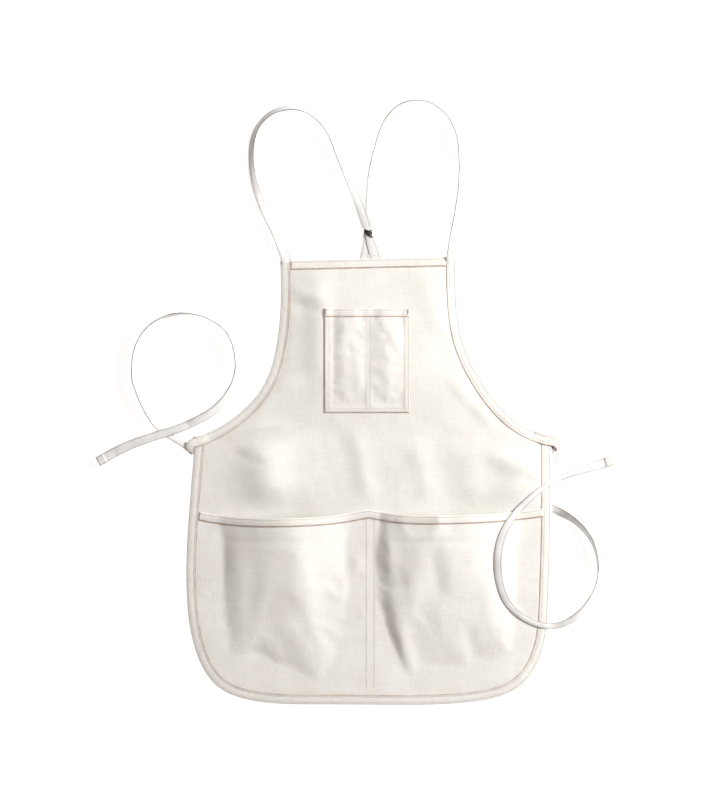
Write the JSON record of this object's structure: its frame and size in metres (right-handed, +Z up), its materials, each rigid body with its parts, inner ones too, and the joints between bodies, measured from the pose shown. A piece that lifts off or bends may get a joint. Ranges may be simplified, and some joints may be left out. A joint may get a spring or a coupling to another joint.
{
  "type": "artist smock apron",
  "caption": "Bib apron in natural cotton canvas, laid flat, with taped edges, a divided chest pocket, wide lower pockets, cross-back straps and waist ties.",
  "frame": {"origin": "under the middle of the cloth body, on the surface that the apron lies on", "axes": "+Z up, off the front of the apron; +Y towards the top of the bib; +X to the right as seen from the front"},
  "size_m": [0.7215, 0.8474, 0.0239],
  "materials": {
    "canvas": "plain-weave natural cotton duck, matte, with small seed flecks",
    "binding": "folded natural cotton binding tape, matte, two rows of stitching",
    "tape": "flat natural cotton strap, matte",
    "thread": "tan sewing thread",
    "black_thread": "black waxed thread"
  },
  "bodies": {
    "skirt": {"skirt_panel": "canvas", "edge_binding": "binding", "edge_stitching": "thread", "left_waist_loop": "binding", "right_waist_loop": "binding", "lower_pocket_panel": "canvas", "lower_pocket_hem": "canvas", "pocket_hem_stitching": "thread", "pocket_divider_stitching": "thread", "left_waist_tie": "tape", "right_waist_tie": "tape", "left_tie_end": "tape", "right_tie_end": "tape"},
    "bib": {"bib_panel": "canvas", "left_armhole_binding": "binding", "right_armhole_binding": "binding", "left_armhole_stitching": "thread", "right_armhole_stitching": "thread", "bib_top_hem": "canvas", "bib_hem_stitching": "thread", "chest_pocket": "canvas", "chest_pocket_hem": "canvas", "chest_pocket_stitching": "thread", "chest_hem_stitching": "thread", "bar_tacks": "thread", "left_neck_strap": "tape", "right_neck_strap": "tape", "left_back_strap": "tape", "right_back_strap": "tape", "crossing_wrap": "black_thread"}
  },
  "joints": [
    {"name": "bib_fold", "type": "hinge", "parent": "skirt", "child": "bib", "pos_m": [0, 0.066, 0.005], "axis": [1, 0, 0], "range_deg": [0, 150]}
  ]
}
